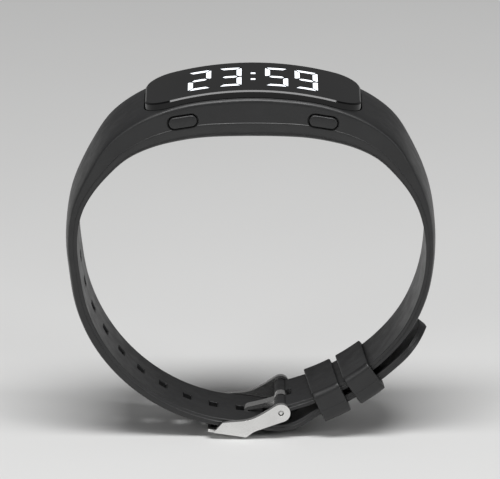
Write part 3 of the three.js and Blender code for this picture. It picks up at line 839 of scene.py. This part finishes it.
def tongue():
    hook_top = arc(HOOK_OUT, 195.5, 202, 6)
    hook_bottom = arc(HOOK_IN, 203.5, 198, 6)
    outline = [np.array([-1, 0.05])]
    outline += bezier((-1, 0.05), (-3.2, -0.7), (-5.8, -1.25))
    outline += bezier((-5.8, -1.25), (-6.5, -1.4), hook_top[0], steps=6)
    outline += hook_top[1:] + hook_bottom
    outline += bezier(hook_bottom[-1], (-4.3, -1.6), (-0.6, -1))
    body = plate(outline, -TONGUE_HALF, TONGUE_HALF)
    combine(body, rod(TONGUE_RING, -TONGUE_HALF, TONGUE_HALF), "UNION", "EXACT")
    combine(body, rod(BORE_R, -4, 4), "DIFFERENCE", "EXACT")
    bevel(body, 0.16)
    finished(body, "tongue_pin", "buckle_tongue", "steel", "buckle_tongue", sharp=25)


def bar_tips():
    for side, name in ((-1, "front"), (1, "rear")):
        profile = [(0, 0), (BAR_TIP_R, 0), (BAR_TIP_R, 3.3)]
        profile += [(0.2 + 0.2 * math.cos(a), 3.3 + 0.2 * math.sin(a)) for a in quarter(5)[1:]]
        profile += [(0, 3.5)]
        tip = lathe("tip", profile, (PIN[0], side * 5, PIN[1]), (0, side, 0), 48)
        finished(tip, f"bar_tip_{name}", "band", "steel", f"spring_bar_tip_{name}")


def keeper(index, angle, length):
    """A moulded loop round both straps, swept along the arc a little askew, with eased ends and
    a fine moulding line round its side walls."""
    middle = (KEEPER_INNER + KEEPER_OUTER) / 2
    half_height = (KEEPER_OUTER - KEEPER_INNER) / 2
    hole_low = KEEPER_INNER + KEEPER_WALL_IN - middle
    hole_high = KEEPER_OUTER - KEEPER_WALL_OUT - middle
    hollow = KEEPER_HALF_WIDTH - KEEPER_WALL_SIDE
    ease = 0.3

    def loop(along, grow, outer):
        if outer:
            half_width = KEEPER_HALF_WIDTH + grow
            outline = rounded_rect(half_width, half_height + grow, 1.15, side=40, corner=10)
        else:
            half = (hole_high - hole_low) / 2 + grow
            outline = rounded_rect(hollow + grow, half, 0.35 + grow, side=40, corner=10)
            outline[:, 1] += (hole_high + hole_low) / 2
        spots = []
        for across, height in outline:
            radius = middle + height
            if outer and abs(across) > KEEPER_HALF_WIDTH + grow - 0.01:
                across += 0.05 * np.sign(across) * math.exp(-(((height - 0.7) / 0.1) ** 2))
            shifted = along - across * math.tan(math.radians(KEEPER_SKEW))
            x, z = on_arc(radius, angle + math.degrees(shifted / radius))
            spots.append((x, across, z))
        return spots

    half = length / 2
    outer = [
        loop(-half + ease - ease * math.cos(a), ease * math.sin(a) - ease, True) for a in quarter(5)
    ]
    outer += [loop(s, 0, True) for s in np.linspace(-half + ease, half - ease, 11)[1:-1]]
    outer += [
        loop(half - ease + ease * math.sin(a), ease * math.cos(a) - ease, True) for a in quarter(5)
    ]
    eased = 0.12
    inner = [
        loop(half - eased + eased * math.cos(a), eased - eased * math.sin(a), False)
        for a in quarter(3)
    ]
    inner += [loop(s, 0, False) for s in np.linspace(half - eased, -half + eased, 9)[1:-1]]
    inner += [
        loop(-half + eased - eased * math.sin(a), eased - eased * math.cos(a), False)
        for a in quarter(3)
    ]
    loops = outer + inner
    count = len(loops[0])
    faces = []
    for i in range(len(loops)):
        after = (i + 1) % len(loops)
        for j in range(count):
            k = (j + 1) % count
            faces.append((i * count + j, i * count + k, after * count + k, after * count + j))
    ring = new_object("keeper", np.vstack(loops), faces)
    finished(ring, f"keeper_loop_{index}", f"keeper_{index}", "rubber", f"keeper_{index}", sharp=45)


# ---- CAD pieces that show as they are -------------------------------------------------------


def dress_frame():
    """Each remaining CAD node takes its slot's finish, and its edges are eased."""
    slots = {part["node"]: part["material_slot"] for part in frame["record"]["subparts"]}
    for name, node in frame["nodes"].items():
        node.data.materials.clear()
        node.data.materials.append(MATERIALS[slots[name]])
        if node.hide_render:
            continue
        ease = node.modifiers.new("ease", "BEVEL")
        ease.width = 0.06 * MM
        ease.segments = 2
        ease.limit_method = "ANGLE"
        ease.angle_limit = math.radians(40)
        node.data.shade_smooth()
        node.data.set_sharp_from_angle(angle=math.radians(35))


# ---- Floor, lights and camera ---------------------------------------------------------------


def floor():
    reach, low = 4.0, cad_box[0].z - 0.0004
    corners = [(-reach, -reach), (reach, -reach), (reach, reach), (-reach, reach)]
    plane = new_object("floor", [(x, y, low) for x, y in corners], [(0, 1, 2, 3)])
    m = Nodes("floor", Specular_IOR_Level=0.2)
    m.colour(m.noise(3, 3), (0.7, 0.7, 0.695), (0.74, 0.74, 0.735))
    m.gloss(m.noise(20, 3), 0.75, 0.9)
    plane.data.materials.append(m.material)


def area_light(name, place, size, power, aim=(0, 0, 0.01), colour=(1, 1, 1)):
    light = bpy.data.lights.new(name, "AREA")
    light.shape = "RECTANGLE"
    light.size, light.size_y = size
    light.energy = power
    light.color = colour
    lamp = bpy.data.objects.new(name, light)
    lamp.location = place
    lamp.rotation_euler = (Vector(aim) - Vector(place)).to_track_quat("-Z", "Y").to_euler()
    bpy.context.scene.collection.objects.link(lamp)


def studio():
    world = bpy.data.worlds.new("studio")
    bpy.context.scene.world = world
    world.use_nodes = True
    world.node_tree.nodes["Background"].inputs["Color"].default_value = (1.0, 1.0, 1.0, 1)
    world.node_tree.nodes["Background"].inputs["Strength"].default_value = 0.16
    bpy.context.scene.view_settings.view_transform = "Standard"
    area_light("key", (0.0, -0.18, 0.66), (0.6, 0.2), 4.4)
    area_light("front", (-0.5, -0.5, 0.35), (0.25, 0.25), 0.8)
    area_light("side", (0.6, -0.35, 0.3), (0.2, 0.3), 0.9)


ELEVATION = math.radians(17.5)
DISTANCE = 1.2
LENS_LENGTH = 475.2
AIM = Vector((-0.00055, 0, 0.00105))


def camera():
    data = bpy.data.cameras.new("camera")
    data.lens = LENS_LENGTH
    data.sensor_width = 36
    data.clip_start, data.clip_end = 0.05, 20
    obj = bpy.data.objects.new("camera", data)
    back = Vector((0, -math.cos(ELEVATION), math.sin(ELEVATION)))
    obj.location = AIM + back * DISTANCE
    obj.rotation_euler = (-back).to_track_quat("-Z", "Y").to_euler()
    bpy.context.scene.collection.objects.link(obj)
    bpy.context.scene.camera = obj


band_moulding()
lens_cover()
numerals()
button_cap(-1, "left")
button_cap(1, "right")
sensor_face()
buckle()
tongue()
bar_tips()
for number, (keeper_angle, keeper_length) in enumerate(KEEPERS, 1):
    keeper(number, keeper_angle, keeper_length)
dress_frame()
floor()
studio()
camera()
